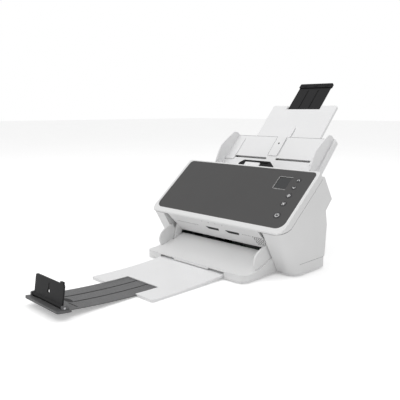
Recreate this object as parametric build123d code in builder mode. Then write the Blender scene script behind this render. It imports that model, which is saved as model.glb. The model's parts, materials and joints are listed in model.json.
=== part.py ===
from build123d import *
import math
import os

# Sheet fed document scanner. Millimetres, +X to the right as seen from the front, -Y towards the
# output tray, +Z up, origin on the table under the middle of the whole footprint.

# ---- overall body
HALF_BODY = 156.0
HALF_INNER = 119.0
HALF_CHIN = 118.5
BASE_Z = 3.0
SEAM_Z = 21.5
WALL = 2.5
CORNER_R = 18.0
FRONT_Y = 31.5
REAR_Y = 125.4

# ---- front panel plane
PANEL_TILT = 39.65
PANEL_Y, PANEL_Z = 7.0, 86.0
PANEL_LENGTH = 126.6
PANEL_HALF = 150.0
BEZEL_DEPTH = 12.0

# ---- paper path and input tray plane
TRAY_TILT = 46.6
TRAY_Y, TRAY_Z = 171.1, 177.6

# ---- cover pivot
PIVOT_Y, PIVOT_Z = 22.0, 23.0
PIN_R = 2.5
RUNNING = 0.05

# ---- output tray: concentric plates about one far centre above the table
ARC_R = 1300.0
ARC_Y = -153.0
ARC_Z = 3.9 + ARC_R
PLATE_T = 3.4
EXTENDER_HALF = 76.2
EXTENDER_FRONT, EXTENDER_TAIL = -194.0, -7.0
EXTENSION_HALF = 40.5
EXTENSION_END, EXTENSION_TAIL = -321.0, -110.0
NOTCH_HALF, NOTCH_DEPTH = 38.0, 44.0

# ---- input tray
TRAY_HALF = 120.5
TRAY_TOP = 56.0
GUIDE_X = 113.0
RACK_MODULE = 1.5
PINION_TEETH = 14
PITCH_R = RACK_MODULE * PINION_TEETH / 2

# ---- rollers: place along the path, distance under it, radius
FEED = (-78.0, -8.4, 8.2)
DRIVE = (-100.0, -7.2, 7.0)
EXIT = (-176.0, -6.2, 6.0)
SHAFT_R = 3.0
MOTOR_Y, MOTOR_Z, MOTOR_R = 100.0, 44.0, 16.0
BELT_GAP, BELT_T = 0.4, 1.1

ct, st = math.cos(math.radians(TRAY_TILT)), math.sin(math.radians(TRAY_TILT))
cp, sp = math.cos(math.radians(PANEL_TILT)), math.sin(math.radians(PANEL_TILT))
TRAY = Plane(origin=(0, TRAY_Y, TRAY_Z), x_dir=(1, 0, 0), z_dir=(0, -st, ct))
PANEL = Plane(origin=(0, PANEL_Y, PANEL_Z), x_dir=(1, 0, 0), z_dir=(0, -sp, cp))
FACE = Plane(origin=(0, 4, 73), x_dir=(1, 0, 0), z_dir=(0, -1, -1))

os.makedirs("parts", exist_ok=True)


def save(part, name):
    """Label a finished piece and write it under its node's name."""
    part.label = name
    export_step(part, "parts/" + name + ".step")


def side(x):
    """The plane across X at x: local x is Y and local y is Z."""
    return Plane.YZ.offset(x)


def tray_side(x):
    """The plane across X at x: local x runs up the tray and local y out of it."""
    return Plane(origin=(x, TRAY_Y, TRAY_Z), x_dir=(0, ct, st), z_dir=(1, 0, 0))


def panel_side(x):
    """The plane across X at x: local x runs up the panel and local y out of it."""
    return Plane(origin=(x, PANEL_Y, PANEL_Z), x_dir=(0, cp, sp), z_dir=(1, 0, 0))


def on_tray(s, n):
    """(Y, Z) of a point s up the tray plane and n in front of it."""
    return (TRAY_Y + s * ct - n * st, TRAY_Z + s * st + n * ct)


def on_arc(depth, y):
    """(Y, Z) of a point depth below the output tray's top surface, at y."""
    r = ARC_R + depth
    return (y, ARC_Z - math.sqrt(r * r - (y - ARC_Y) ** 2))


def arc_run(depth, y0, y1):
    """Three points along the output tray's arc."""
    return on_arc(depth, y0), on_arc(depth, (y0 + y1) / 2), on_arc(depth, y1)


def arc_band(x0, x1, top, bottom, y0, y1):
    """A curved plate between two depths, from x0 to x1."""
    with BuildPart() as band:
        with BuildSketch(side(x0)):
            with BuildLine():
                upper = ThreePointArc(*arc_run(top, y0, y1))
                lower = ThreePointArc(*arc_run(bottom, y1, y0))
                Line(upper @ 1, lower @ 0)
                Line(lower @ 1, upper @ 0)
            make_face()
        extrude(amount=x1 - x0)
    return band.part


# ---- base housing -----------------------------------------------------------------------------


def make_base_pan():
    with BuildPart() as pan:
        with BuildSketch(side(-HALF_BODY + 0.5)):
            Polygon((40.5, BASE_Z), (REAR_Y, BASE_Z), (REAR_Y, SEAM_Z), (FRONT_Y, SEAM_Z), align=None)
        extrude(amount=2 * HALF_BODY - 1)
        ends = pan.edges().filter_by(lambda edge: abs(edge.center().X) > HALF_BODY - 1)
        fillet(ends.sort_by(Axis.Y)[:2], CORNER_R)
        fillet(pan.edges().filter_by(Axis.Z).sort_by(Axis.Y)[-2:], 3)
        with BuildSketch(Plane.XY.offset(BASE_Z + 2)):
            with Locations((0, (43.5 + REAR_Y - WALL) / 2)):
                RectangleRounded(2 * HALF_BODY - 6, REAR_Y - WALL - 43.5, 16)
        extrude(amount=30, mode=Mode.SUBTRACT)
        with BuildSketch(Plane.XY.offset(BASE_Z)):
            with Locations((0, FRONT_Y + 7)):
                Rectangle(2 * HALF_INNER, 15)
        extrude(amount=30, mode=Mode.SUBTRACT)
        with BuildSketch(Plane.XZ.offset(-REAR_Y - 1)):
            with Locations((-60, 13.5)):
                Rectangle(10.4, 10.4)
            with Locations((-30, 14)):
                Rectangle(13.4, 11.4)
        extrude(amount=6, mode=Mode.SUBTRACT)
        with BuildSketch(Plane.XY.offset(BASE_Z + 2)):
            with Locations((-60, 78), (60, 78), (-60, 112), (60, 112)):
                Circle(3)
        extrude(amount=2)
    save(pan.part, "base_pan")


def make_feet():
    with BuildPart() as feet:
        with BuildSketch():
            with Locations((-138, 110), (138, 110), (-136, 58), (136, 58), (-100, -30), (100, -30)):
                Circle(8)
        extrude(amount=BASE_Z)
        chamfer(feet.edges().group_by(Axis.Z)[0], 0.8)
    save(feet.part, "rubber_feet")


SIDE_PROFILE = [
    (-1.0, 76.6),
    (24.9, 83.8),
    (116.4, 159.8),
    (143.6, 117.4),
    (125.2, 98.9),
    (129.5, 76.0),
    (REAR_Y, SEAM_Z),
    (30.9, SEAM_Z),
]


def make_side_covers():
    with BuildPart() as cavity:
        with BuildSketch(side(HALF_INNER + WALL)):
            Polygon(*SIDE_PROFILE, align=None)
            offset(amount=-WALL, kind=Kind.INTERSECTION)
        extrude(amount=HALF_BODY - HALF_INNER - 2 * WALL)
        fillet(cavity.edges().group_by(Axis.X)[-1].sort_by(Axis.Y)[1], CORNER_R - WALL)
    with BuildPart() as right:
        with BuildSketch(side(HALF_INNER)):
            Polygon(*SIDE_PROFILE, align=None)
        extrude(amount=HALF_BODY - HALF_INNER)
        fillet(right.edges().group_by(Axis.X)[-1].sort_by(Axis.Y)[1], CORNER_R)
        fillet(right.edges().group_by(Axis.X)[-1].sort_by(Axis.Y)[-1], 3)
        add(cavity.part, mode=Mode.SUBTRACT)
        with BuildSketch(side(HALF_INNER - 1)):
            Polygon(
                (45.5, 24.5), (122, 24.5), (126.5, 76), (122, 99.5), (138, 116), (115, 152), (45.5, 95),
                align=None,
            )
        extrude(amount=WALL + 2, mode=Mode.SUBTRACT)
    save(right.part, "right_side_cover")
    with BuildPart() as left:
        add(mirror(right.part, about=Plane.YZ))
    save(left.part, "left_side_cover")


def make_rear_cover():
    with BuildPart() as rear:
        with BuildSketch(side(-HALF_INNER + 0.6)):
            Polygon(
                (142.6, 116.4), (124.9, 98.7), (129.2, 76), (125.1, 22), (122.6, 22),
                (126.6, 76), (122.3, 99.8), (138.6, 116.4), align=None,
            )
        extrude(amount=2 * HALF_INNER - 1.2)
        with BuildSketch(Plane.XZ.offset(-140)):
            with GridLocations(9, 0, 20, 1):
                with Locations((0, 52)):
                    SlotOverall(26, 3, rotation=90)
        extrude(amount=30, mode=Mode.SUBTRACT)
    save(rear.part, "rear_cover")


# ---- chin -------------------------------------------------------------------------------------

DECK_TOP = [(-46, 14.6), (-31, 14.3), (-17, 15.6), (0, 20.0), (15, 25.5), (30.5, 31.5), (38.5, 34.0)]
DECK_T = 2.0
EAR_X, EAR_T = 114.6, 3.4
ARM_X, ARM_T = 110.05, 4.0
LIP_BLOCK, LIP_TAB = 77.3, 41.7


def make_chin_shell():
    under = [(y, z - DECK_T - 0.1) for y, z in DECK_TOP]
    with BuildPart() as cavity:
        with BuildSketch(Plane.XY.offset(BASE_Z + 1.5)) as plan:
            with BuildLine():
                Polyline((-116.5, 50), (-116.5, -44), (116.5, -44), (116.5, 50), (-116.5, 50))
            make_face()
            fillet(plan.vertices().group_by(Axis.Y)[0], 12)
        extrude(amount=40)
    with BuildPart() as chin:
        with BuildSketch(side(-HALF_CHIN)):
            with BuildLine():
                top = Spline(*under)
                Polyline(top @ 1, (38.5, BASE_Z), (-46, BASE_Z), top @ 0)
            make_face()
        extrude(amount=2 * HALF_CHIN)
        with BuildSketch(Plane.XY) as plan:
            with BuildLine():
                Polyline(
                    (-HALF_CHIN, 50), (-HALF_CHIN, -46), (HALF_CHIN, -46), (HALF_CHIN, 50), (-HALF_CHIN, 50),
                )
            make_face()
            fillet(plan.vertices().group_by(Axis.Y)[0], 14)
        extrude(amount=60, mode=Mode.INTERSECT)
        add(cavity.part, mode=Mode.SUBTRACT)
        with BuildSketch(Plane.XY.offset(BASE_Z + 1.5)):
            with Locations((0, -44)):
                Rectangle(2 * LIP_BLOCK, 8)
        extrude(amount=30, mode=Mode.SUBTRACT)
        with BuildSketch(Plane.XY.offset(BASE_Z + 1.5)):
            with Locations((-80.5, -38), (80.5, -38), (-96, 0), (96, 0)):
                Rectangle(3, 12)
        extrude(amount=4)
    save(chin.part, "chin_shell")


def make_output_deck():
    with BuildPart() as deck:
        with BuildSketch(side(-HALF_CHIN)):
            with BuildLine():
                top = Spline(*DECK_TOP)
                low = Spline(*[(y, z - DECK_T) for y, z in reversed(DECK_TOP)])
                Line(top @ 1, low @ 0)
                Line(low @ 1, top @ 0)
            make_face()
        extrude(amount=2 * HALF_CHIN)
        with BuildSketch(Plane.XY) as plan:
            with BuildLine():
                Polyline(
                    (-HALF_CHIN, 50), (-HALF_CHIN, -46), (HALF_CHIN, -46), (HALF_CHIN, 50), (-HALF_CHIN, 50),
                )
            make_face()
            fillet(plan.vertices().group_by(Axis.Y)[0], 14)
        extrude(amount=60, mode=Mode.INTERSECT)
        # the lip hangs lower in the middle, over the extender's mouth
        with BuildSketch(side(-LIP_TAB)):
            Polygon((-46, 9.9), (-44.4, 9.9), (-43.4, 14), (-46, 14), align=None)
        extrude(amount=2 * LIP_TAB)
        for sign in (-1, 1):
            with BuildSketch(side(sign * EAR_X - EAR_T / 2)):
                with BuildLine():
                    front = Spline(
                        (16.5, 52.6), (5.5, 50.2), (-4.5, 45.9), (-12.5, 39.0), (-16.2, 29), (-9, 15.5),
                    )
                    Polyline(front @ 1, (36.5, 24), front @ 0)
                make_face()
            extrude(amount=EAR_T)
            # slot for the cover's hinge arm
            with BuildSketch(Plane.XY.offset(10)):
                with Locations((sign * ARM_X, 27)):
                    Rectangle(ARM_T + 0.9, 27)
            extrude(amount=40, mode=Mode.SUBTRACT)
            with BuildSketch(side(sign * EAR_X - 3)):
                with Locations((PIVOT_Y, PIVOT_Z)):
                    Circle(PIN_R)
            extrude(amount=6, mode=Mode.SUBTRACT)
    save(deck.part, "output_deck")


def make_hinge_pins():
    with BuildPart() as pins:
        for sign in (-1, 1):
            with BuildSketch(side(sign * 112.2 - 4.1)):
                with Locations((PIVOT_Y, PIVOT_Z)):
                    Circle(PIN_R)
            extrude(amount=8.2)
    save(pins.part, "hinge_pins")


def make_tray_rails():
    rail = arc_band(72.0, 80.0, -1.5, 5.0, -30, 121)
    groove = arc_band(70.0, EXTENDER_HALF + 0.4, -0.35, PLATE_T + 0.35, -40, 123)
    with BuildPart() as rails:
        add(rail)
        add(groove, mode=Mode.SUBTRACT)
        with BuildSketch(Plane.XY.offset(BASE_Z + 2)):
            with Locations((78.8, 60), (78.8, 110)):
                Rectangle(2.4, 12)
        extrude(amount=9)
        mirror(about=Plane.YZ)
    save(rails.part, "tray_rails")


# ---- frame and paper path ---------------------------------------------------------------------


def roller_place(roller):
    return on_tray(roller[0], roller[1])


def make_frame_plates():
    for sign, name in ((1, "right_frame_plate"), (-1, "left_frame_plate")):
        with BuildPart() as plate:
            with BuildSketch(side(sign * 117.2 - 0.7)):
                Polygon(
                    (45, 5.1), (121.5, 5.1), (121.5, 30), (125.5, 76), (121.2, 99.5), (136.5, 115),
                    (117, 148), (96, 128), (45, 60), align=None,
                )
                with Locations(roller_place(FEED), roller_place(DRIVE), roller_place(EXIT)):
                    Circle(5, mode=Mode.SUBTRACT)
                if sign < 0:
                    with Locations((MOTOR_Y, MOTOR_Z)):
                        Circle(4, mode=Mode.SUBTRACT)
                with Locations((75, 20), (70, 60)):
                    Circle(7, mode=Mode.SUBTRACT)
            extrude(amount=1.4)
        save(plate.part, name)


def make_bushings():
    with BuildPart() as bushings:
        for sign in (-1, 1):
            with BuildSketch(side(sign * 117.2 - 1.6)):
                with Locations(roller_place(FEED), roller_place(DRIVE), roller_place(EXIT)):
                    Circle(5)
                    Circle(SHAFT_R + RUNNING, mode=Mode.SUBTRACT)
            extrude(amount=3.2)
    save(bushings.part, "roller_bushings")


def make_lower_guide():
    with BuildPart() as guide:
        with BuildSketch(TRAY.offset(-4)) as plate:
            with Locations((0, -126.5)):
                Rectangle(2 * 109, 119)
            with Locations((0, -135)):
                Rectangle(2 * 105, 14, mode=Mode.SUBTRACT)
        extrude(amount=2.5)
        # side webs reach the frame
        for sign in (-1, 1):
            with BuildSketch(tray_side(sign * 110.5 - 1.5)):
                Polygon(
                    (-184, -1.5), (-67, -1.5), (-67, -8), (-90, -14), (-101, -22), (-168, -24), (-184, -12),
                    align=None,
                )
            extrude(amount=3)
            with BuildSketch(tray_side(sign * 114.1 - 2.3)):
                with Locations((-120, -21), (-165, -18)):
                    Circle(3)
            extrude(amount=4.6)
        # clearance for the rollers
        for roller, half in ((FEED, 24), (DRIVE, 94), (EXIT, 94)):
            with BuildSketch(tray_side(-half)):
                with Locations((roller[0], roller[1])):
                    Circle(roller[2] + 1)
            extrude(amount=2 * half, mode=Mode.SUBTRACT)
            with BuildSketch(tray_side(-118)):
                with Locations((roller[0], roller[1])):
                    Circle(SHAFT_R + 1)
            extrude(amount=236, mode=Mode.SUBTRACT)
    save(guide.part, "lower_guide")


def make_scan_module(name, near, far):
    """A contact image sensor bar between two distances from the paper plane."""
    with BuildPart() as module:
        with BuildSketch(TRAY.offset(near)):
            with Locations((0, -135)):
                Rectangle(2 * 104, 20)
        extrude(amount=far - near)
        with BuildSketch(TRAY.offset(near)):
            with Locations((0, -135)):
                Rectangle(2 * 101, 6)
        extrude(amount=(far - near) * 0.4, mode=Mode.SUBTRACT)
    save(module.part, name)


def make_scan_glass(name, low):
    with BuildPart() as glass:
        with BuildSketch(TRAY.offset(low)):
            with Locations((0, -135)):
                Rectangle(2 * 104, 13)
        extrude(amount=2.2)
    save(glass.part, name)


def make_roller(name, roller, tyres, half_tyre, pulley_r):
    """A steel shaft with its drive pulley, and a node of tyres on it."""
    y, z = roller_place(roller)
    with BuildPart() as shaft:
        with BuildSketch(side(-128)):
            with Locations((y, z)):
                Circle(SHAFT_R)
        extrude(amount=128 + 118.6)
        with BuildSketch(side(-127)):
            with Locations((y, z)):
                Circle(pulley_r)
        extrude(amount=7)
        with BuildSketch(side(-119.9)):
            with Locations((y, z)):
                Circle(SHAFT_R + 1.6)
        extrude(amount=0.8)
    save(shaft.part, name + "_shaft")
    with BuildPart() as tyre:
        for x in tyres:
            with BuildSketch(side(x - half_tyre)):
                with Locations((y, z)):
                    Circle(roller[2])
                    Circle(SHAFT_R, mode=Mode.SUBTRACT)
            extrude(amount=2 * half_tyre)
    save(tyre.part, name + "_tyres")


PULLEYS = {"feed": 5.0, "drive": 6.0, "exit": 6.0, "motor": 4.6}


def make_drive():
    with BuildPart() as motor:
        with BuildSketch(side(-116.4)):
            with Locations((MOTOR_Y, MOTOR_Z)):
                Circle(MOTOR_R)
                Circle(1.1, mode=Mode.SUBTRACT)
        extrude(amount=30)
        fillet(motor.edges().filter_by(GeomType.CIRCLE).sort_by(Axis.X)[-2], 2)
        with BuildSketch(Plane.XY.offset(BASE_Z + 2)):
            with Locations((-102, MOTOR_Y)):
                Rectangle(20, 8)
        extrude(amount=MOTOR_Z - MOTOR_R - BASE_Z - 1.4)
    save(motor.part, "drive_motor")
    with BuildPart() as pulley:
        with BuildSketch(side(-127)):
            with Locations((MOTOR_Y, MOTOR_Z)):
                Circle(PULLEYS["motor"])
        extrude(amount=7)
        with BuildSketch(side(-120)):
            with Locations((MOTOR_Y, MOTOR_Z)):
                Circle(1.05)
        extrude(amount=14)
    save(pulley.part, "motor_pulley")


def make_belts():
    """Two flat belts: motor to drive and exit rollers, and drive roller to feed roller."""
    places = {
        "feed": roller_place(FEED),
        "drive": roller_place(DRIVE),
        "exit": roller_place(EXIT),
        "motor": (MOTOR_Y, MOTOR_Z),
    }
    solids = []
    for start, wheels in ((-126.6, ("motor", "drive", "exit")), (-123.2, ("feed", "drive"))):
        for gap in (BELT_GAP + BELT_T, BELT_GAP):
            with BuildPart() as loop:
                with BuildSketch(side(start)):
                    with BuildLine() as rims:
                        for wheel in wheels:
                            CenterArc(places[wheel], PULLEYS[wheel] + gap, 0, 360)
                    make_hull(rims.edges())
                extrude(amount=2.6)
            solids.append(loop.part)
    with BuildPart() as belts:
        add(solids[0])
        add(solids[1], mode=Mode.SUBTRACT)
        add(solids[2] - solids[3])
    save(belts.part, "drive_belt")


def make_electronics():
    with BuildPart() as board:
        with BuildSketch(Plane.XY.offset(BASE_Z + 4)):
            with Locations((0, 95)):
                Rectangle(140, 48)
        extrude(amount=1.6)
        with BuildSketch(Plane.XY.offset(BASE_Z + 5.6)):
            with Locations((10, 92)):
                Rectangle(16, 16)
            with Locations((40, 100)):
                Rectangle(9, 14)
            with GridLocations(10, 0, 4, 1):
                with Locations((-12, 84)):
                    Rectangle(6, 4)
        extrude(amount=1.6)
    save(board.part, "main_board")
    with BuildPart() as jack:
        with BuildSketch(Plane.XY.offset(BASE_Z + 5.6)):
            with Locations((-60, 119.2)):
                Rectangle(10, 13)
        extrude(amount=10)
        with BuildSketch(Plane.XZ.offset(-125.8)):
            with Locations((-60, 13.6)):
                Circle(3.2)
        extrude(amount=10, mode=Mode.SUBTRACT)
        with BuildSketch(Plane.XZ.offset(-125.7)):
            with Locations((-60, 13.6)):
                Circle(1.0)
        extrude(amount=10)
    save(jack.part, "power_jack")
    with BuildPart() as usb:
        with BuildSketch(Plane.XY.offset(BASE_Z + 5.6)):
            with Locations((-30, 118.2)):
                Rectangle(13, 15)
        extrude(amount=11)
        with BuildSketch(Plane.XZ.offset(-125.8)):
            with Locations((-30, 14.1)):
                Rectangle(10, 8.4)
        extrude(amount=12, mode=Mode.SUBTRACT)
        with BuildSketch(Plane.XZ.offset(-125)):
            with Locations((-30, 11.2)):
                Rectangle(5, 2)
        extrude(amount=12)
    save(usb.part, "usb_port")


# ---- cover ------------------------------------------------------------------------------------


def make_bezel():
    with BuildPart() as bezel:
        with BuildSketch(panel_side(-HALF_BODY)):
            Polygon(
                (-12, -0.9), (-10.2, 1.0), (-3, 0.3), (PANEL_LENGTH, 0.3), (131, -1.6), (133, -6),
                (132.5, -BEZEL_DEPTH), (12.7, -BEZEL_DEPTH), align=None,
            )
        extrude(amount=2 * HALF_BODY)
        with BuildSketch(PANEL.offset(-20)) as outline:
            with BuildLine():
                Polyline(
                    (-HALF_BODY, -14), (HALF_BODY, -14), (HALF_BODY, 133.5), (-HALF_BODY, 133.5),
                    (-HALF_BODY, -14),
                )
            make_face()
            fillet(outline.vertices().group_by(Axis.Y)[0], 20)
            fillet(outline.vertices().group_by(Axis.Y)[-1], 12)
        extrude(amount=30, mode=Mode.INTERSECT)
        with BuildSketch(PANEL.offset(-3)) as pocket:
            with BuildLine():
                Polyline(
                    (-150.3, -0.3), (150.3, -0.3), (150.3, 126.9), (-150.3, 126.9), (-150.3, -0.3),
                )
            make_face()
            fillet(pocket.vertices().group_by(Axis.Y)[0], 15.3)
            fillet(pocket.vertices().group_by(Axis.Y)[-1], 8.3)
        extrude(amount=8, mode=Mode.SUBTRACT)
        with BuildSketch(PANEL.offset(-20)):
            with Locations((0, 65)):
                RectangleRounded(286, 104, 8)
        extrude(amount=30, mode=Mode.SUBTRACT)
    save(bezel.part, "cover_bezel")


SMALL_BUTTONS = {
    "button_up": (124.0, 105.0, 4.2),
    "button_down": (124.0, 87.6, 4.2),
    "button_start": (124.0, 69.5, 5.2),
    "button_cancel": (124.0, 51.0, 5.2),
    "button_power": (126.0, 26.0, 6.2),
}
SCREEN = (96.5, 96.0)


def make_panel():
    with BuildPart() as panel:
        with BuildSketch(PANEL.offset(-3)) as outline:
            with BuildLine():
                Polyline(
                    (-PANEL_HALF, 0), (PANEL_HALF, 0), (PANEL_HALF, PANEL_LENGTH),
                    (-PANEL_HALF, PANEL_LENGTH),
                    (-PANEL_HALF, 0),
                )
            make_face()
            fillet(outline.vertices().group_by(Axis.Y)[0], 15)
            fillet(outline.vertices().group_by(Axis.Y)[-1], 8)
            for x, t, r in SMALL_BUTTONS.values():
                with Locations((x, t)):
                    Circle(r + 0.35, mode=Mode.SUBTRACT)
            with Locations(SCREEN):
                Rectangle(23, 24, mode=Mode.SUBTRACT)
        extrude(amount=3)
        with BuildSketch(PANEL):
            with Locations(SCREEN):
                RectangleRounded(28, 29, 1.5)
        extrude(amount=-0.9, mode=Mode.SUBTRACT)
        with BuildSketch(PANEL.offset(-3)):
            with Locations((84, 20), (84, 112), (136, 17), (136, 112)):
                Circle(2.2)
        extrude(amount=-6)
        chamfer(panel.faces().filter_by(Axis(origin=(0, 0, 0), direction=PANEL.z_dir)).sort_by(
            Axis(origin=(0, 0, 0), direction=PANEL.z_dir))[-1].outer_wire().edges(), 0.5)
    save(panel.part, "front_panel")


def make_panel_electronics():
    with BuildPart() as window:
        with BuildSketch(PANEL.offset(-2.8)):
            with Locations(SCREEN):
                Rectangle(23, 24)
        extrude(amount=1.8)
    save(window.part, "display_window")
    with BuildPart() as board:
        with BuildSketch(PANEL.offset(-10.6)):
            with Locations((109, 65)):
                Rectangle(56, 98)
        extrude(amount=1.6)
        with BuildSketch(PANEL.offset(-9)):
            with Locations(SCREEN):
                Rectangle(22, 23)
        extrude(amount=6.2)
    save(board.part, "control_board")
    for name, (x, t, r) in SMALL_BUTTONS.items():
        with BuildPart() as button:
            with BuildSketch(PANEL.offset(-2.2)):
                with Locations((x, t)):
                    Circle(r)
            extrude(amount=2.7)
            chamfer(button.edges().filter_by(GeomType.CIRCLE).sort_by(
                Axis(origin=(0, 0, 0), direction=PANEL.z_dir))[-1], 0.4)
            with BuildSketch(PANEL.offset(-2.2)):
                with Locations((x, t)):
                    Circle(1.5)
            extrude(amount=-5.6)
        save(button.part, name)


FACE_HALF = 108.0


def make_cover_face():
    """The sloping face above the exit, with its vents and two finger slots."""
    with BuildPart() as face:
        with BuildSketch(side(-FACE_HALF)):
            Polygon((-0.6, 77.2), (4, 73), (36.2, 40.8), (38, 42.6), (7.6, 73.1), (3.4, 77.4), align=None)
        extrude(amount=2 * FACE_HALF)
        with BuildSketch(FACE.offset(2)):
            for x in (-5.8, 41.4):
                with Locations((x, -16.2)):
                    Polygon((-16.5, 4), (16.5, 4), (13, -4), (-12, -4), align=None)
            with Locations((4, 2.4)):
                with GridLocations(16.3, 0, 4, 1):
                    Circle(0.9)
            with Locations((-68.5, -14.3)):
                with GridLocations(3.2, 0, 18, 1):
                    Circle(0.9)
            with Locations((73, -14.3)):
                with GridLocations(3.2, 0, 6, 1):
                    Circle(0.9)
            for row in range(6):
                with Locations((95.5 + 1.1 * (row % 2), -15.5 - 4.2 * row)):
                    with GridLocations(4.4, 0, 5, 1):
                        Circle(1.35)
        extrude(amount=-8, mode=Mode.SUBTRACT)
    save(face.part, "cover_face")


SEPARATION = (-78.0, 11.6, 10.4)
UPPER_DRIVE = (-100.0, 6.2, 5.5)
UPPER_EXIT = (-176.0, 5.9, 5.2)


def make_cover_frame():
    """The cover's inner frame: upper paper guide, side walls and hinge arms."""
    with BuildPart() as frame:
        with BuildSketch(tray_side(-106.5)):
            Polygon((-183, 1.5), (-90, 1.5), (-55, 19), (-57, 21), (-91, 4), (-183, 4), align=None)
        extrude(amount=213)
        with BuildSketch(TRAY.offset(-2)):
            with Locations((0, -135)):
                Rectangle(2 * 104.3, 13.6)
            with Locations((0, SEPARATION[0])):
                Rectangle(34, 26)
                Rectangle(52, 13)
            with Locations((0, UPPER_DRIVE[0])):
                Rectangle(188, 14)
            with Locations((0, UPPER_EXIT[0])):
                Rectangle(188, 20)
        extrude(amount=26, mode=Mode.SUBTRACT)
        for sign in (-1, 1):
            with BuildSketch(side(sign * 107.05 - 1)):
                Polygon((39.5, 44.2), (9.5, 73.8), (27, 81), (108, 148), (118, 142), (104, 112), align=None)
            extrude(amount=2)
            with BuildSketch(side(sign * ARM_X - ARM_T / 2)):
                Polygon(
                    (31, 72), (16.6, 25), (17.6, 19), (22, 17.4), (27, 20), (46, 57), (48, 66), align=None,
                )
            extrude(amount=ARM_T)
            with BuildSketch(side(sign * ARM_X - 6)):
                with Locations((PIVOT_Y, PIVOT_Z)):
                    Circle(PIN_R + RUNNING)
            extrude(amount=12, mode=Mode.SUBTRACT)
        for x in (-24, 20):
            with BuildSketch(tray_side(x)):
                Polygon((-92.8, 1.5), (-92.8, 6), (-88, 24), (-66, 24), (-57, 18), (-90, 1.5), align=None)
                with Locations((SEPARATION[0], SEPARATION[1])):
                    Circle(SHAFT_R + RUNNING, mode=Mode.SUBTRACT)
            extrude(amount=4)
        for roller in (UPPER_DRIVE, UPPER_EXIT):
            with BuildSketch(tray_side(-112)):
                with Locations((roller[0], roller[1])):
                    Circle(2.0 + RUNNING)
            extrude(amount=224, mode=Mode.SUBTRACT)
    save(frame.part, "cover_frame")


def make_upper_rollers():
    y, z = roller_place(SEPARATION)
    with BuildPart() as separation:
        with BuildSketch(side(-25)):
            with Locations((y, z)):
                Circle(SHAFT_R)
        extrude(amount=50)
        with BuildSketch(side(-16)):
            with Locations((y, z)):
                Circle(SEPARATION[2])
        extrude(amount=32)
    save(separation.part, "separation_roller")
    for name, roller in (("upper_drive_idler", UPPER_DRIVE), ("upper_exit_idler", UPPER_EXIT)):
        y, z = roller_place(roller)
        with BuildPart() as idler:
            with BuildSketch(side(-108.5)):
                with Locations((y, z)):
                    Circle(2.0)
            extrude(amount=217)
            for x in (-70, -30, 30, 70):
                with BuildSketch(side(x - 8)):
                    with Locations((y, z)):
                        Circle(roller[2])
                extrude(amount=16)
        save(idler.part, name)


def make_gap_release():
    with BuildPart() as surround:
        with BuildSketch(TRAY.offset(23.6)) as arch:
            Polygon((-40, -57), (40, -57), (40, -37), (31, -29.5), (-31, -29.5), (-40, -37), align=None)
            fillet(arch.vertices().group_by(Axis.Y)[-1], 4)
            with Locations((0, -46)):
                Rectangle(56, 26, mode=Mode.SUBTRACT)
        extrude(amount=4.5)
        with BuildSketch(TRAY.offset(23.6)):
            with Locations((0, -44)):
                Rectangle(56.2, 24)
        extrude(amount=1.0)
        with BuildSketch(TRAY.offset(23.6)):
            with Locations((19, -44)):
                Rectangle(17, 20)
        extrude(amount=3.4)
    save(surround.part, "gap_surround")
    with BuildPart() as tab:
        with BuildSketch(TRAY.offset(24.9)):
            with Locations((-8.5, -41)):
                RectangleRounded(36, 15, 2.5)
        extrude(amount=3.2)
        chamfer(tab.faces().sort_by(Axis(origin=(0, 0, 0), direction=TRAY.z_dir))[-1].edges(), 0.6)
    save(tab.part, "gap_tab")


# ---- output tray ------------------------------------------------------------------------------


def make_output_extender():
    plate = arc_band(-EXTENDER_HALF, EXTENDER_HALF, 0, PLATE_T, EXTENDER_FRONT, EXTENDER_TAIL)
    pocket = arc_band(-EXTENSION_HALF - 0.4, EXTENSION_HALF + 0.4, 1.2, 2.75, -230, 0)
    relief = arc_band(-EXTENSION_HALF + 4.5, EXTENSION_HALF - 4.5, 1.2, 6, -230, 0)
    with BuildPart() as tray:
        add(plate)
        add(pocket, mode=Mode.SUBTRACT)
        add(relief, mode=Mode.SUBTRACT)
        with BuildSketch(Plane.XY.offset(-1)):
            with Locations((0, EXTENDER_FRONT + NOTCH_DEPTH / 2 - 5)):
                Rectangle(2 * NOTCH_HALF, NOTCH_DEPTH + 10)
        extrude(amount=30, mode=Mode.SUBTRACT)
        for sign in (-1, 1):
            with BuildSketch(Plane.XY.offset(-1)):
                with Locations((sign * EXTENDER_HALF, EXTENDER_FRONT)):
                    Rectangle(3.6, 3.6, rotation=45)
            extrude(amount=30, mode=Mode.SUBTRACT)
    save(tray.part, "output_extender")


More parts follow.
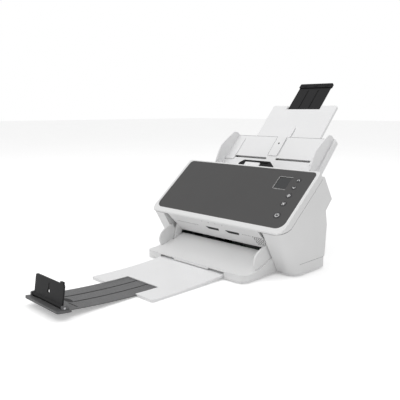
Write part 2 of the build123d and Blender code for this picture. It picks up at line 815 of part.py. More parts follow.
def make_output_extension():
    plate = arc_band(-EXTENSION_HALF, EXTENSION_HALF, 1.35, 2.6, EXTENSION_END + 3, EXTENSION_TAIL)
    with BuildPart() as strip:
        add(plate)
        # two lengthwise grooves
        for x in (-13.0, 13.0):
            with BuildSketch(Plane.XY):
                with Locations((x, (EXTENSION_END + 34 + EXTENSION_TAIL) / 2)):
                    RectangleRounded(3, EXTENSION_TAIL - EXTENSION_END - 44, 1.4)
            extrude(amount=60, mode=Mode.SUBTRACT)
        end = arc_band(-44, 44, 0.6, 4.2, EXTENSION_END - 4, EXTENSION_END + 17)
        add(end)
        with BuildSketch(Plane.XY) as corner:
            with BuildLine():
                Polyline((-44, 0), (-44, EXTENSION_END - 4), (44, EXTENSION_END - 4), (44, 0), (-44, 0))
            make_face()
            fillet(corner.vertices().group_by(Axis.Y)[0], 3)
        extrude(amount=60, mode=Mode.INTERSECT)
        for sign in (-1, 1):
            with BuildSketch(side(sign * 40.8 - 1.6)) as lug:
                with BuildLine():
                    Polyline((-317, 11), (-317, 19), (-309, 19), (-306, 13), (-306, 11), (-317, 11))
                make_face()
                fillet(lug.vertices().group_by(Axis.Y)[-1], 2)
            extrude(amount=3.2)
        with BuildSketch(side(-50)):
            with Locations(FLAP_PIVOT):
                Circle(1.5)
        extrude(amount=100, mode=Mode.SUBTRACT)
        with BuildSketch(Plane.XY.offset(11)):
            with Locations((0, FLAP_PIVOT[0])):
                Rectangle(76.4, 7.6)
        extrude(amount=60, mode=Mode.SUBTRACT)
    save(strip.part, "output_extension")


FLAP_PIVOT = (-313.0, 15.6)
FLAP_LEAN = 9.0


def make_output_stop():
    upright = Plane(
        origin=(0, FLAP_PIVOT[0], FLAP_PIVOT[1]),
        x_dir=(1, 0, 0),
        z_dir=(0, -math.cos(math.radians(FLAP_LEAN)), math.sin(math.radians(FLAP_LEAN))),
    )
    with BuildPart() as flap:
        with BuildSketch(upright.offset(-1.2)) as outline:
            Polygon((-37, 0), (37, 0), (37, 30), (-37, 30), align=None)
            fillet(outline.vertices().group_by(Axis.Y)[-1], 3.5)
            with Locations((31, 31)):
                RectangleRounded(8, 4, 1.2)
            with Locations((0, 13)):
                Circle(3.0, mode=Mode.SUBTRACT)
            with Locations((0, 18.5)):
                Rectangle(1.6, 12, mode=Mode.SUBTRACT)
        extrude(amount=2.4)
        with BuildSketch(side(-37)):
            with Locations(FLAP_PIVOT):
                Circle(3.0)
        extrude(amount=74)
        with BuildSketch(side(-45)):
            with Locations(FLAP_PIVOT):
                Circle(1.5 + RUNNING)
        extrude(amount=90, mode=Mode.SUBTRACT)
    save(flap.part, "output_stop")
    with BuildPart() as pin:
        with BuildSketch(side(-42.4)):
            with Locations(FLAP_PIVOT):
                Circle(1.5)
        extrude(amount=84.8)
    save(pin.part, "stop_pin")


# ---- input tray -------------------------------------------------------------------------------


TRAY_PLAN = [
    (-116.5, -66),
    (116.5, -66),
    (116.5, -52),
    (TRAY_HALF, -40),
    (TRAY_HALF, TRAY_TOP),
    (-TRAY_HALF, TRAY_TOP),
    (-TRAY_HALF, -40),
    (-116.5, -52),
]


def make_tray_front():
    with BuildPart() as front:
        with BuildSketch(TRAY.offset(-3.8)) as plan:
            Polygon(*TRAY_PLAN, align=None)
            fillet(plan.vertices().group_by(Axis.Y)[-1], 6)
            for sign in (-1, 1):
                with Locations((sign * 53, 0)):
                    SlotOverall(84, 5.0, mode=Mode.SUBTRACT)
        extrude(amount=2)
        with BuildSketch(TRAY.offset(-1.8)):
            with Locations((0, 31)):
                RectangleRounded(22, 48, 3)
            for sign in (-1, 1):
                with Locations((sign * 118.7, 13)):
                    Rectangle(3.4, 74)
        extrude(amount=1.6)
    save(front.part, "input_tray_front")


SLEEVE_HALF = 81.5


def make_tray_back():
    with BuildPart() as back:
        with BuildSketch(TRAY.offset(-10.3)) as plan:
            Polygon(*TRAY_PLAN, align=None)
            fillet(plan.vertices().group_by(Axis.Y)[-1], 6)
        extrude(amount=6.5)
        with BuildSketch(TRAY.offset(-8.3)):
            with Locations((0, -4)):
                Rectangle(2 * TRAY_HALF - 9, 112)
        extrude(amount=10, mode=Mode.SUBTRACT)
        with BuildSketch(TRAY.offset(-10.3)):
            with Locations((0, 68)):
                RectangleRounded(20, 44, 6)
        extrude(amount=2)
        with BuildSketch(TRAY.offset(-8.3)):
            with Locations((0, 0)):
                Circle(2.5)
        extrude(amount=4.2)
        # sleeve for the extender
        with BuildSketch(tray_side(-SLEEVE_HALF)):
            Polygon((-56, -19), (55, -19), (55, -10.3), (-56, -10.3), align=None)
        extrude(amount=2 * SLEEVE_HALF)
        with BuildSketch(tray_side(-77.4)):
            Polygon((-54, -16.6), (70, -16.6), (70, -10.3), (-54, -10.3), align=None)
        extrude(amount=2 * 77.4, mode=Mode.SUBTRACT)
    save(back.part, "input_tray_back")


def make_guides():
    """Two side guides that slide across the tray, each on its post."""
    with BuildPart() as right:
        with BuildSketch(TRAY.offset(-1.6)):
            with Locations((102.5, 20)):
                RectangleRounded(23, 56, 2)
        extrude(amount=1.4)
        with BuildSketch(tray_side(GUIDE_X - 1.2)):
            with BuildLine():
                Polyline((56, -1.6), (55.5, 8), (50, 16), (28, 22.5), (5, 27.5), (-10, 25.5), (-32, 18),
                         (-36, 10),
                         (-34, 1.2), (-8, 0.2), (-8, -1.6), (56, -1.6))
            make_face()
        extrude(amount=2.4)
        with BuildSketch(TRAY.offset(-5.4)):
            with Locations((92.6, 0)):
                Circle(1.7)
        extrude(amount=4)
    save(right.part, "right_guide")
    with BuildPart() as left:
        add(mirror(right.part, about=Plane.YZ))
    save(left.part, "left_guide")


def rack_outline(direction):
    """A rack's outline, teeth towards the pinion at the origin; direction is the side of its outer end."""
    pitch = math.pi * RACK_MODULE
    tip, root = RACK_MODULE, 1.25 * RACK_MODULE
    slope = math.tan(math.radians(20))
    half = pitch / 4 - 0.12
    points = [(-13.0, PITCH_R + 7), (-13.0, PITCH_R + root)]
    for k in range(-2, 18):
        middle = k * pitch
        points += [
            (middle - half - root * slope, PITCH_R + root),
            (middle - half + tip * slope, PITCH_R - tip),
            (middle + half - tip * slope, PITCH_R - tip),
            (middle + half + root * slope, PITCH_R + root),
        ]
    points += [(96.0, PITCH_R + root), (96.0, PITCH_R + 7)]
    return [(direction * x, direction * s) for x, s in points]


def make_racks():
    for direction, name in ((1, "right_rack"), (-1, "left_rack")):
        with BuildPart() as rack:
            with BuildSketch(TRAY.offset(-7.5)):
                Polygon(*rack_outline(direction), align=None)
                with Locations((direction * 92.6, direction * 7)):
                    Rectangle(6.8, 21)
                with Locations((direction * 92.6, 0)):
                    Circle(1.7, mode=Mode.SUBTRACT)
            extrude(amount=2.9)
        save(rack.part, name)


def make_pinion():
    """A spur gear with a tooth space over each rack's tooth at rest."""
    base = PITCH_R * math.cos(math.radians(20))
    tip, root = PITCH_R + RACK_MODULE * 0.92, PITCH_R - 1.3 * RACK_MODULE

    def flank(r):
        if r <= base:
            return 0.0
        a = math.acos(base / r)
        return math.tan(a) - a

    half = math.pi / (2 * PINION_TEETH) - 0.012 + flank(PITCH_R)
    radii = [root, base, PITCH_R - 0.5, PITCH_R, PITCH_R + 0.6, tip]
    with BuildPart() as pinion:
        with BuildSketch(TRAY.offset(-7.5)):
            Circle(root + 0.01)
            for k in range(PINION_TEETH):
                middle = math.pi / 2 + (k + 0.5) * 2 * math.pi / PINION_TEETH
                tooth = [(r, middle + half - flank(r)) for r in radii]
                tooth += [(r, middle - half + flank(r)) for r in reversed(radii)]
                Polygon(*[(r * math.cos(a), r * math.sin(a)) for r, a in tooth], align=None)
            Circle(2.5 + RUNNING, mode=Mode.SUBTRACT)
        extrude(amount=2.9)
    save(pinion.part, "guide_pinion")


def make_input_extender():
    with BuildPart() as extender:
        with BuildSketch(TRAY.offset(-16)) as plan:
            with Locations((0, 88.5)):
                RectangleRounded(2 * 76.9, 121, 4)
            with Locations((0, 146)):
                Rectangle(81, 14, mode=Mode.SUBTRACT)
        extrude(amount=5)
        with BuildSketch(TRAY.offset(-14.9)):
            with Locations((0, 92)):
                Rectangle(2 * 38.1, 122)
        extrude(amount=2.5, mode=Mode.SUBTRACT)
    save(extender.part, "input_extender")


def make_input_extension():
    with BuildPart() as extension:
        with BuildSketch(TRAY.offset(-14.6)):
            with Locations((0, 146.5)):
                Rectangle(2 * 37.7, 109)
        extrude(amount=1.9)
        with BuildSketch(TRAY.offset(-12.7)):
            for x in (-12.0, 12.0):
                with Locations((x, 148)):
                    RectangleRounded(3, 92, 1.4)
        extrude(amount=-0.9, mode=Mode.SUBTRACT)
    save(extension.part, "input_extension")
    with BuildPart() as bar:
        with BuildSketch(TRAY.offset(-15.6)):
            with Locations((0, 206.5)):
                RectangleRounded(78, 11, 2)
        extrude(amount=4.6)
        with BuildSketch(TRAY.offset(-11)):
            with Locations((-26, 206.5), (0, 206.5), (26, 206.5)):
                RectangleRounded(7, 6, 1.2)
        extrude(amount=0.5)
    save(bar.part, "input_end_bar")


def make_screws():
    """Underside screws that hold the pan to the side covers and frame."""
    with BuildPart() as screws:
        with BuildSketch(Plane.XY.offset(BASE_Z + 2)):
            with Locations((-146, 80), (146, 80), (-90, 112), (90, 112)):
                Circle(3.2)
        extrude(amount=2)
        with BuildSketch(Plane.XY.offset(BASE_Z + 4)):
            with Locations((-146, 80), (146, 80), (-90, 112), (90, 112)):
                RegularPolygon(1.3, 6, mode=Mode.ADD)
        extrude(amount=-1.4, mode=Mode.SUBTRACT)
    save(screws.part, "pan_screws")


make_base_pan()
make_feet()
make_side_covers()
make_rear_cover()
make_chin_shell()
make_output_deck()
make_hinge_pins()
make_tray_rails()
make_frame_plates()
make_bushings()
make_lower_guide()
make_scan_module("lower_scan_module", -4.2, -20)
make_scan_glass("lower_scan_glass", -4.1)
make_scan_module("upper_scan_module", 4.2, 18)
make_scan_glass("upper_scan_glass", 1.9)
make_roller("feed", FEED, (-14, 14), 8, PULLEYS["feed"])
make_roller("drive", DRIVE, (-70, -30, 30, 70), 9, PULLEYS["drive"])
make_roller("exit", EXIT, (-70, -30, 30, 70), 9, PULLEYS["exit"])
make_drive()
make_belts()
make_electronics()
make_bezel()
make_panel()
make_panel_electronics()
make_cover_face()
make_cover_frame()
make_upper_rollers()
make_gap_release()
make_output_extender()
make_output_extension()
make_output_stop()
make_tray_front()
make_tray_back()
make_guides()
make_racks()
make_pinion()
make_input_extender()
make_input_extension()
make_screws()
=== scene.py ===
import json
import math

import bmesh
import bpy
from mathutils import Matrix, Vector


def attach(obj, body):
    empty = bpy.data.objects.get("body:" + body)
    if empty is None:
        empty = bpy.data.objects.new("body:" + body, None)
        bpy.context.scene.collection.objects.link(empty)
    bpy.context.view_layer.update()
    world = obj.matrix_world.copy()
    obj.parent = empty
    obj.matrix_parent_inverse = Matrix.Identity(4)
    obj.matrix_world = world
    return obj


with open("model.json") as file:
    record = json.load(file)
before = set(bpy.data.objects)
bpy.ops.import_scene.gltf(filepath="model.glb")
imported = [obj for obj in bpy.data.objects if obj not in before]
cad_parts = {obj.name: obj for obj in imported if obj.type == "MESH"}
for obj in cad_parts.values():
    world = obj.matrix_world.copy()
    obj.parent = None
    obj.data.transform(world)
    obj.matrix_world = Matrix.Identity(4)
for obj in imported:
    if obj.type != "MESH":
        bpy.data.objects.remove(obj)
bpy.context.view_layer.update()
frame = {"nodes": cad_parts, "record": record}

MM = 0.001
nodes = frame["nodes"]

# ---- planes of the object, as in the frame (metres)

TRAY_TILT, TRAY_AT = math.radians(46.6), Vector((0, 0.1711, 0.1776))
PANEL_TILT, PANEL_AT = math.radians(39.65), Vector((0, 0.007, 0.086))


def slope(tilt, at):
    """Matrix of a plane that climbs towards +Y: X across, Y up the slope, Z out of it."""
    up = Vector((0, math.cos(tilt), math.sin(tilt)))
    out = Vector((0, -math.sin(tilt), math.cos(tilt)))
    return Matrix(((1, up.x, out.x, at.x), (0, up.y, out.y, at.y), (0, up.z, out.z, at.z), (0, 0, 0, 1)))


DIAG = math.sqrt(0.5)
FACE = Matrix(((1, 0, 0, 0), (0, -DIAG, -DIAG, 0.004), (0, DIAG, -DIAG, 0.073), (0, 0, 0, 1)))
TRAY = slope(TRAY_TILT, TRAY_AT)
PANEL = slope(PANEL_TILT, PANEL_AT)


ARC_CENTRE, EXTENSION_R = Vector((0, -0.153, 1.3039)), 1.30135


def extension_plane(y):
    """Plane that touches the output extension's curved top at y: X across, Y towards the body."""
    turn = math.asin((y - ARC_CENTRE.y) / EXTENSION_R)
    at = ARC_CENTRE + EXTENSION_R * Vector((0, math.sin(turn), -math.cos(turn)))
    return slope(turn, at)


# ---- materials --------------------------------------------------------------------------------


class Nodes:
    """Short way to add and link shader nodes."""

    def __init__(self, name):
        self.mat = bpy.data.materials.new(name)
        self.mat.use_nodes = True
        self.tree = self.mat.node_tree
        self.bsdf = self.tree.nodes["Principled BSDF"]
        self.coord = self.tree.nodes.new("ShaderNodeTexCoord").outputs["Object"]

    def add(self, kind, inputs=(), **settings):
        node = self.tree.nodes.new(kind)
        for key, value in settings.items():
            setattr(node, key, value)
        for key, value in dict(inputs).items():
            if isinstance(value, bpy.types.NodeSocket):
                self.tree.links.new(value, node.inputs[key])
            else:
                node.inputs[key].default_value = value
        return node

    def noise(self, scale, detail=2.0, rough=0.5, stretch=None):
        at = self.coord
        if stretch:
            at = self.add("ShaderNodeMapping", {"Vector": at, "Scale": stretch}).outputs[0]
        inputs = {"Vector": at, "Scale": scale, "Detail": detail, "Roughness": rough}
        return self.add("ShaderNodeTexNoise", inputs)

    def ramp(self, fac, stops):
        node = self.add("ShaderNodeValToRGB", {"Fac": fac})
        ramp = node.color_ramp
        while len(ramp.elements) < len(stops):
            ramp.elements.new(0.5)
        for element, (at, color) in zip(ramp.elements, stops):
            element.position = at
            element.color = (*color, 1)
        return node.outputs["Color"]

    def spread(self, fac, low, high):
        return self.add("ShaderNodeMapRange", {"Value": fac, "To Min": low, "To Max": high}).outputs["Result"]

    def set(self, **values):
        for key, value in values.items():
            socket = self.bsdf.inputs[key.replace("_", " ")]
            if isinstance(value, bpy.types.NodeSocket):
                self.tree.links.new(value, socket)
            else:
                socket.default_value = value

    def bump(self, height, strength, distance):
        node = self.add("ShaderNodeBump", {"Height": height, "Strength": strength, "Distance": distance})
        self.tree.links.new(node.outputs["Normal"], self.bsdf.inputs["Normal"])


def shade(color, k):
    return tuple(min(1.0, c * k) for c in color)


def moulded(name, color, rough, grain=2600.0, depth=0.00003, variation=0.03, specular=0.5, coat=0.0):
    """Spark-eroded moulded plastic: fine even grain, faint clouding and slightly uneven gloss."""
    m = Nodes(name)
    cloud = m.noise(14.0, 3.0).outputs["Fac"]
    fine = m.noise(grain, 2.0, 0.6).outputs["Fac"]
    m.set(
        Base_Color=m.ramp(cloud, [(0.3, shade(color, 1 - variation)), (0.7, shade(color, 1 + variation))]),
        Roughness=m.spread(m.noise(60.0, 3.0).outputs["Fac"], rough - 0.05, rough + 0.05),
        Specular_IOR_Level=specular,
        Coat_Weight=coat,
    )
    m.bump(fine, 0.35, depth)
    return m.mat


def ribbed(name, color, rough, pitch, axis, depth=0.00025):
    """Moulded plastic with fine parallel ribs across one axis."""
    m = Nodes(name)
    split = m.add("ShaderNodeSeparateXYZ", {"Vector": m.coord})
    value = m.add("ShaderNodeMath", {0: split.outputs[axis], 1: 2 * math.pi / pitch}, operation="MULTIPLY")
    wave = m.add("ShaderNodeMath", {0: value.outputs[0]}, operation="SINE")
    soft = m.add("ShaderNodeMapRange", {"Value": wave.outputs[0], "From Min": 0.2, "From Max": 0.9})
    cloud = m.noise(18.0, 3.0).outputs["Fac"]
    m.set(
        Base_Color=m.ramp(cloud, [(0.3, shade(color, 0.93)), (0.7, shade(color, 1.07))]),
        Roughness=m.spread(m.noise(90.0, 3.0).outputs["Fac"], rough - 0.06, rough + 0.06),
    )
    m.bump(soft.outputs["Result"], 0.6, depth)
    return m.mat


def steel(name, color, rough, stretch):
    """Brushed steel: long fine scratches along one direction."""
    m = Nodes(name)
    grain = m.noise(900.0, 4.0, 0.6, stretch).outputs["Fac"]
    m.set(
        Base_Color=m.ramp(grain, [(0.2, shade(color, 0.9)), (0.8, shade(color, 1.05))]),
        Metallic=1.0,
        Roughness=m.spread(grain, rough - 0.08, rough + 0.12),
    )
    m.bump(grain, 0.2, 0.00002)
    return m.mat


def rubber(name, color):
    """Matte rubber with a fine powdery mottling."""
    m = Nodes(name)
    speck = m.noise(500.0, 3.0, 0.7).outputs["Fac"]
    m.set(
        Base_Color=m.ramp(speck, [(0.3, shade(color, 0.8)), (0.7, shade(color, 1.25))]),
        Roughness=m.spread(speck, 0.72, 0.92),
        Specular_IOR_Level=0.3,
    )
    m.bump(m.noise(1500.0, 2.0).outputs["Fac"], 0.4, 0.00006)
    return m.mat


def board_green():
    """Green solder mask over fine square tracks."""
    m = Nodes("circuit_board_green")
    tracks = m.add("ShaderNodeTexVoronoi", {"Vector": m.coord, "Scale": 260.0}, distance="MANHATTAN")
    distance = tracks.outputs["Distance"]
    line = m.add("ShaderNodeMapRange", {"Value": distance, "From Min": 0.25, "From Max": 0.45})
    m.set(
        Base_Color=m.ramp(line.outputs["Result"], [(0.4, (0.02, 0.14, 0.06)), (0.6, (0.04, 0.24, 0.11))]),
        Roughness=0.35,
    )
    m.bump(line.outputs["Result"], 0.3, 0.00003)
    return m.mat


def clear(name, tint, rough):
    """Clear glass with a faint film of dust."""
    m = Nodes(name)
    dust = m.noise(220.0, 3.0).outputs["Fac"]
    m.set(
        Base_Color=m.ramp(dust, [(0.3, shade(tint, 0.96)), (0.7, tint)]),
        Roughness=m.spread(dust, rough, rough + 0.05),
        IOR=1.5,
        Transmission_Weight=0.85,
    )
    return m.mat


WHITE = (0.84, 0.84, 0.84)
TRAY_WHITE = (0.90, 0.90, 0.905)
MATERIALS = {
    "white_abs": moulded("white_abs", WHITE, 0.42, 2200.0, 0.00002, 0.012),
    "white_tray": moulded("white_tray", TRAY_WHITE, 0.45, 2600.0, 0.00002, 0.012),
    "dark_panel": moulded("dark_panel", (0.058, 0.057, 0.057), 0.42, 3000.0, 0.000015, 0.03),
    "dark_plastic": moulded("dark_plastic", (0.016, 0.016, 0.017), 0.36, 2400.0, 0.00003, 0.06, 0.18),
    "grey_plastic": ribbed("grey_plastic", (0.115, 0.115, 0.118), 0.34, 0.0022, "X"),
    "black_plastic": moulded("black_plastic", (0.008, 0.008, 0.009), 0.4, 2400.0, 0.00003, 0.08, 0.18),
    "inner_grey": moulded("inner_grey", (0.22, 0.225, 0.235), 0.5, 1800.0, 0.00003, 0.04),
    "foot_rubber": rubber("foot_rubber", (0.02, 0.02, 0.02)),
    "roller_rubber": rubber("roller_rubber", (0.06, 0.065, 0.07)),
    "steel": steel("turned_steel", (0.58, 0.58, 0.6), 0.3, (12.0, 1.0, 1.0)),
    "sheet_steel": steel("sheet_steel", (0.52, 0.53, 0.55), 0.42, (1.0, 0.06, 1.0)),
    "bushing_plastic": moulded("bushing_plastic", (0.62, 0.6, 0.54), 0.4, 1500.0),
    "scan_glass": clear("scan_glass", (0.86, 0.94, 0.95), 0.02),
    "display_glass": moulded("display_glass", (0.018, 0.02, 0.022), 0.14, 300.0, 0.0000005, 0.05, 0.5, 0.6),
    "circuit_board": board_green(),
    "belt_rubber": rubber("belt_rubber", (0.025, 0.025, 0.026)),
    "port_metal": steel("port_metal", (0.6, 0.6, 0.62), 0.28, (1.0, 0.1, 1.0)),
    "button_plastic": moulded("button_plastic", (0.05, 0.05, 0.054), 0.36, 3000.0, 0.00001, 0.03),
}

for row in frame["record"]["subparts"]:
    mesh = nodes[row["node"]].data
    mesh.materials.clear()
    mesh.materials.append(MATERIALS[row["material_slot"]])


# ---- pieces made here -------------------------------------------------------------------------


def piece(name, bm, material, body, matrix=None):
    """A finished mesh piece that rides on a body."""
    mesh = bpy.data.meshes.new(name)
    if matrix is not None:
        bm.transform(matrix)
    bm.normal_update()
    bm.to_mesh(mesh)
    bm.free()
    mesh.materials.append(material)
    obj = bpy.data.objects.new(name, mesh)
    bpy.context.scene.collection.objects.link(obj)
    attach(obj, body)
    return obj


def add_prism(bm, outline, low, high):
    """A flat closed outline (x, y) in millimetres, thickened between two heights."""
    ring0 = [bm.verts.new((x * MM, y * MM, low * MM)) for x, y in outline]
    ring1 = [bm.verts.new((x * MM, y * MM, high * MM)) for x, y in outline]
    n = len(outline)
    bm.faces.new(list(reversed(ring0)))
    bm.faces.new(ring1)
    for i in range(n):
        bm.faces.new((ring0[i], ring0[(i + 1) % n], ring1[(i + 1) % n], ring1[i]))


def add_stroke(bm, points, width, low, high, closed=False):
    """A line of even width through points (x, y), as one thickened ribbon."""
    n = len(points)
    sides = []
    for i, (x, y) in enumerate(points):
        before = points[i - 1] if closed or i > 0 else points[i]
        after = points[(i + 1) % n] if closed or i < n - 1 else points[i]
        along = Vector((after[0] - before[0], after[1] - before[1])).normalized()
        across = Vector((-along.y, along.x)) * width / 2
        sides.append(((x + across.x, y + across.y), (x - across.x, y - across.y)))
    rows = []
    for a, b in sides:
        corners = ((a, low), (b, low), (b, high), (a, high))
        rows.append([bm.verts.new((at[0] * MM, at[1] * MM, z * MM)) for at, z in corners])
    for i in range(n if closed else n - 1):
        r0, r1 = rows[i], rows[(i + 1) % n]
        for k in range(4):
            bm.faces.new((r0[k], r0[(k + 1) % 4], r1[(k + 1) % 4], r1[k]))
    if not closed:
        bm.faces.new(rows[0])
        bm.faces.new(list(reversed(rows[-1])))
    bmesh.ops.recalc_face_normals(bm, faces=bm.faces)


def arc(cx, cy, r, a0, a1, steps):
    """Points (x, y) along an arc in degrees."""
    turn = [math.radians(a0 + (a1 - a0) * i / steps) for i in range(steps + 1)]
    return [(cx + r * math.cos(a), cy + r * math.sin(a)) for a in turn]


def box(x0, x1, y0, y1):
    """Outline of a rectangle, counterclockwise."""
    return [(x0, y0), (x1, y0), (x1, y1), (x0, y1)]


def diamond(x, y, r):
    """A square stood on its corner."""
    return [(x, y + r), (x - r, y), (x, y - r), (x + r, y)]


# Light print on the buttons; the same material also paints the display bezel's highlight as a light line.
PRINT_AND_HIGHLIGHT = moulded("print_and_highlight", (0.9, 0.9, 0.9), 0.4, 900.0, 0.000005, 0.01)


ICON_LOW, ICON_HIGH = 0.45, 0.56
BUTTON_X, POWER_X = 124.0, 126.0


def make_icons():
    """Raised light marks on the buttons: chevrons, a start diamond, a cross and a power sign."""
    x, arm, cross = BUTTON_X, 2.6, 2.4
    marks = {
        "button_up": [[(x - arm, 103.6), (x, 106.6), (x + arm, 103.6)]],
        "button_down": [[(x - arm, 89.0), (x, 86.0), (x + arm, 89.0)]],
        "button_cancel": [
            [(x - cross, 51.0 - cross), (x + cross, 51.0 + cross)],
            [(x - cross, 51.0 + cross), (x + cross, 51.0 - cross)],
        ],
    }
    for name, lines in marks.items():
        bm = bmesh.new()
        for line in lines:
            add_stroke(bm, line, 1.0, ICON_LOW, ICON_HIGH)
        piece("icon_" + name, bm, PRINT_AND_HIGHLIGHT, name, PANEL)
    bm = bmesh.new()
    add_stroke(bm, diamond(x, 69.5, 3.1), 0.9, ICON_LOW, ICON_HIGH, True)
    add_prism(bm, diamond(x, 69.5, 1.2), ICON_LOW, ICON_HIGH)
    piece("icon_button_start", bm, PRINT_AND_HIGHLIGHT, "button_start", PANEL)
    bm = bmesh.new()
    add_stroke(bm, arc(POWER_X, 26, 3.4, 125, 415, 24), 0.9, ICON_LOW, ICON_HIGH)
    add_stroke(bm, [(POWER_X, 26.6), (POWER_X, 30.2)], 0.9, ICON_LOW, ICON_HIGH)
    piece("icon_button_power", bm, PRINT_AND_HIGHLIGHT, "button_power", PANEL)


make_icons()

# Painted shade: a dark grey strip material laid along shut lines in place of the shade in their gaps.
SEAM_SHADE = moulded("seam_shadow", (0.16, 0.16, 0.165), 0.8, 900.0, 0.000005, 0.05)
SHADOW = moulded("vent_shadow", (0.02, 0.02, 0.02), 0.8, 900.0, 0.000005, 0.05)
# Painted shade: a near-black material laid in slots, holes and pockets in place of the shade inside them.
SLOT_SHADE = moulded("slot_shade", (0.01, 0.01, 0.011), 0.6, 1200.0, 0.00001, 0.1)


SPINE_TOP, SPINE_HALF = -0.2, 11.3
PLATE_TOP = -1.8
TONGUE_TOP = -10.98
FLOOR_TOP = -8.3
TRAY_EDGE = 55.6


def make_tray_marks():
    """Painted shade: dark strips for the shade in the shut lines of the tray's hinged tongue and along the
    front plate's top edge, with near-black sheets for the shade in the spine's hole and on the slot floors.
    """
    low, high = SPINE_TOP - 0.1, SPINE_TOP + 0.05
    bm = bmesh.new()
    for side in (-1, 1):
        add_stroke(bm, [(side * SPINE_HALF, 8.0), (side * SPINE_HALF, 55.2)], 0.5, low, high)
    piece("tray_spine_shade_lines", bm, SEAM_SHADE, "base", TRAY)
    bm = bmesh.new()
    add_prism(bm, arc(0, 38.0, 1.9, 0, 345, 23), low, high)
    piece("tray_spine_hole_shade", bm, SLOT_SHADE, "base", TRAY)
    bm = bmesh.new()
    for side in (-1, 1):
        line = [(side * 13, TRAY_EDGE), (side * 114, TRAY_EDGE)]
        add_stroke(bm, line, 0.6, PLATE_TOP - 0.15, PLATE_TOP + 0.08)
    piece("tray_edge_shade_lines", bm, SEAM_SHADE, "base", TRAY)
    bm = bmesh.new()
    tongue = [(-9.0, 60.5), (-9.0, 79.0), (12.0, 79.0)]
    add_stroke(bm, tongue, 0.5, TONGUE_TOP - 0.12, TONGUE_TOP + 0.05)
    piece("tongue_shade_lines", bm, SEAM_SHADE, "input_extender", TRAY)
    bm = bmesh.new()
    for x0, x1 in ((-94.5, -11.5), (11.5, 94.5)):
        add_prism(bm, box(x0, x1, -2.0, 2.0), FLOOR_TOP + 0.05, FLOOR_TOP + 0.2)
    piece("slot_floor_shades", bm, SLOT_SHADE, "base", TRAY)


RIM_LOW, RIM_HIGH = -0.02, 0.03


def make_screen_rim():
    """Painted highlight: a light line round the display window standing in for the bezel's highlight, broken
    at its far corner.
    """
    x0, x1, t0, t1 = 82.9, 110.1, 81.9, 110.1
    bm = bmesh.new()
    add_stroke(bm, [(x1, t1), (x0, t1), (x0, t0)], 0.55, RIM_LOW, RIM_HIGH)
    add_stroke(bm, [(x0 + 1.5, t0 - 0.4), (x1 - 1, t0 - 0.4)], 0.4, RIM_LOW, RIM_HIGH)
    piece("display_rim_highlight", bm, PRINT_AND_HIGHLIGHT, "cover", PANEL)


SEAM_OUTER, SEAM_INNER = 155.9, 155.45


def make_base_seam():
    """Painted shade: a dark strip standing in for the shade in the shut line between the base pan and the two
    side covers.
    """
    bm = bmesh.new()
    for side in (-1, 1):
        x0, x1 = sorted((side * SEAM_INNER, side * SEAM_OUTER))
        add_prism(bm, box(x0, x1, 52.0, 122.4), 21.0, 21.5)
    piece("base_seam_shade", bm, SEAM_SHADE, "base")


SLOT_XS, VENT_Y, VENT_PITCH = (-5.8, 41.4), -14.3, 3.2
SMALL_HOLE, MESH_HOLE = 0.86, 1.31
DEEP = -2.4
FLUSH = -0.04


def make_vent_depths():
    """Painted shade: dark sheets and discs standing in for the shade inside the finger slots, vent holes and
    mesh of the sloping face.
    """
    bm = bmesh.new()
    for x in SLOT_XS:
        slot = [(x - 11.9, -20.1), (x + 12.9, -20.1), (x + 16.3, -12.3), (x - 16.3, -12.3)]
        add_prism(bm, slot, DEEP, -0.25)
    piece("finger_slot_shade", bm, SLOT_SHADE, "cover", FACE)
    holes = [(4 + 16.3 * (i - 1.5), 2.4, SMALL_HOLE, 0.04) for i in range(4)]
    for middle, count in ((-68.5, 18), (73, 6)):
        first = middle - VENT_PITCH * (count - 1) / 2
        holes += [(first + VENT_PITCH * i, VENT_Y, SMALL_HOLE, FLUSH) for i in range(count)]
    for row in range(6):
        x, y = 95.5 + 1.1 * (row % 2), -15.5 - 4.2 * row
        holes += [(x + 4.4 * (i - 2), y, MESH_HOLE, FLUSH) for i in range(5)]
    bm = bmesh.new()
    for x, y, r, top in holes:
        add_prism(bm, arc(x, y, r, 0, 330, 11), DEEP + 0.1, top)
    piece("vent_hole_shade", bm, SHADOW, "cover", FACE)


def make_extension_pockets():
    """Painted shade: dark sheets standing in for the shade in the finger pocket and the flap's catch in the
    top of the output extension.
    """
    low, high = -0.3, 0.04
    oval = [(3.5 + 11 * math.cos(a), 4.8 * math.sin(a)) for a in [math.radians(15 * i) for i in range(24)]]
    catch = [(11.0, -5.2), (17.0, -7.0), (35.0, -5.6), (35.0, -3.6), (18.0, -4.2)]
    bm = bmesh.new()
    add_prism(bm, oval, low, high)
    add_prism(bm, catch, low, high)
    piece("extension_pocket_shade", bm, SLOT_SHADE, "output_extension", extension_plane(-0.285))


make_tray_marks()
make_extension_pockets()
make_screen_rim()
make_base_seam()
make_vent_depths()


# ---- floor, lights and camera -----------------------------------------------------------------

SURROUND_LIGHT = 0.62
FLOOR_GLOW = 0.34
SENSOR, LENS = 36.0, 47.3715
CAMERA_AT = (0.626, -0.6483, 0.2698)
AIM_AT = (0, -0.05, 0.1)


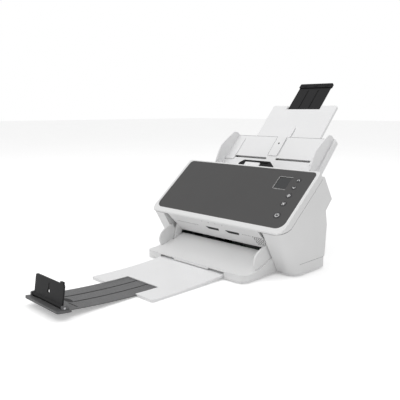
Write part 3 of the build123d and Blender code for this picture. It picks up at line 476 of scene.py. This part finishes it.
def make_floor():
    """Plain pale floor, a little brighter to the camera than the light on it makes it."""
    bm = bmesh.new()
    size = 12.0
    corners = [bm.verts.new((x * size, y * size, 0)) for x, y in ((-1, -1), (1, -1), (1, 1), (-1, 1))]
    bm.faces.new(corners)
    mesh = bpy.data.meshes.new("floor")
    bm.to_mesh(mesh)
    bm.free()
    m = Nodes("floor_white")
    cloud = m.noise(3.0).outputs["Fac"]
    m.set(
        Base_Color=m.ramp(cloud, [(0.3, (0.93, 0.93, 0.93)), (0.7, (0.95, 0.95, 0.95))]),
        Roughness=0.9,
        Emission_Color=(1, 1, 1, 1),
    )
    seen = m.add("ShaderNodeLightPath").outputs["Is Camera Ray"]
    glow = m.add("ShaderNodeMath", {0: seen, 1: FLOOR_GLOW}, operation="MULTIPLY")
    m.set(Emission_Strength=glow.outputs[0])
    mesh.materials.append(m.mat)
    obj = bpy.data.objects.new("floor", mesh)
    bpy.context.scene.collection.objects.link(obj)


def aim(obj, at, target):
    obj.location = at
    obj.rotation_euler = (Vector(target) - Vector(at)).to_track_quat("-Z", "Y").to_euler()


def make_light(name, at, size, watts):
    data = bpy.data.lights.new(name, "AREA")
    data.shape = "DISK"
    data.size = size
    data.energy = watts
    obj = bpy.data.objects.new(name, data)
    bpy.context.scene.collection.objects.link(obj)
    aim(obj, at, AIM_AT)


def make_world():
    """Even pale studio surround: dimmer as a light than as the backdrop the camera sees."""
    world = bpy.data.worlds.new("studio")
    world.use_nodes = True
    tree = world.node_tree
    surround = tree.nodes["Background"]
    surround.inputs["Color"].default_value = (1, 1, 1, 1)
    surround.inputs["Strength"].default_value = SURROUND_LIGHT
    backdrop = tree.nodes.new("ShaderNodeBackground")
    backdrop.inputs["Color"].default_value = (1, 1, 1, 1)
    backdrop.inputs["Strength"].default_value = 1.0
    mix = tree.nodes.new("ShaderNodeMixShader")
    path = tree.nodes.new("ShaderNodeLightPath")
    tree.links.new(path.outputs["Is Camera Ray"], mix.inputs[0])
    tree.links.new(surround.outputs[0], mix.inputs[1])
    tree.links.new(backdrop.outputs[0], mix.inputs[2])
    tree.links.new(mix.outputs[0], tree.nodes["World Output"].inputs["Surface"])
    bpy.context.scene.world = world
    bpy.context.scene.view_settings.view_transform = "Standard"


def make_camera():
    """View from the front right, a little above the cover's top edge."""
    data = bpy.data.cameras.new("camera")
    data.sensor_width = SENSOR
    data.lens = LENS
    obj = bpy.data.objects.new("camera", data)
    bpy.context.scene.collection.objects.link(obj)
    azimuth, elevation = math.radians(45.0), math.radians(9.71)
    at = Vector(CAMERA_AT)
    look = Vector((-math.sin(azimuth) * math.cos(elevation), math.cos(azimuth) * math.cos(elevation),
                   -math.sin(elevation)))
    aim(obj, at, at + look)
    bpy.context.scene.camera = obj


make_floor()
make_world()
make_light("key", (-0.9, -1.1, 1.9), 1.2, 9)
make_light("top", (0.1, 0.2, 2.2), 1.6, 9)
make_camera()
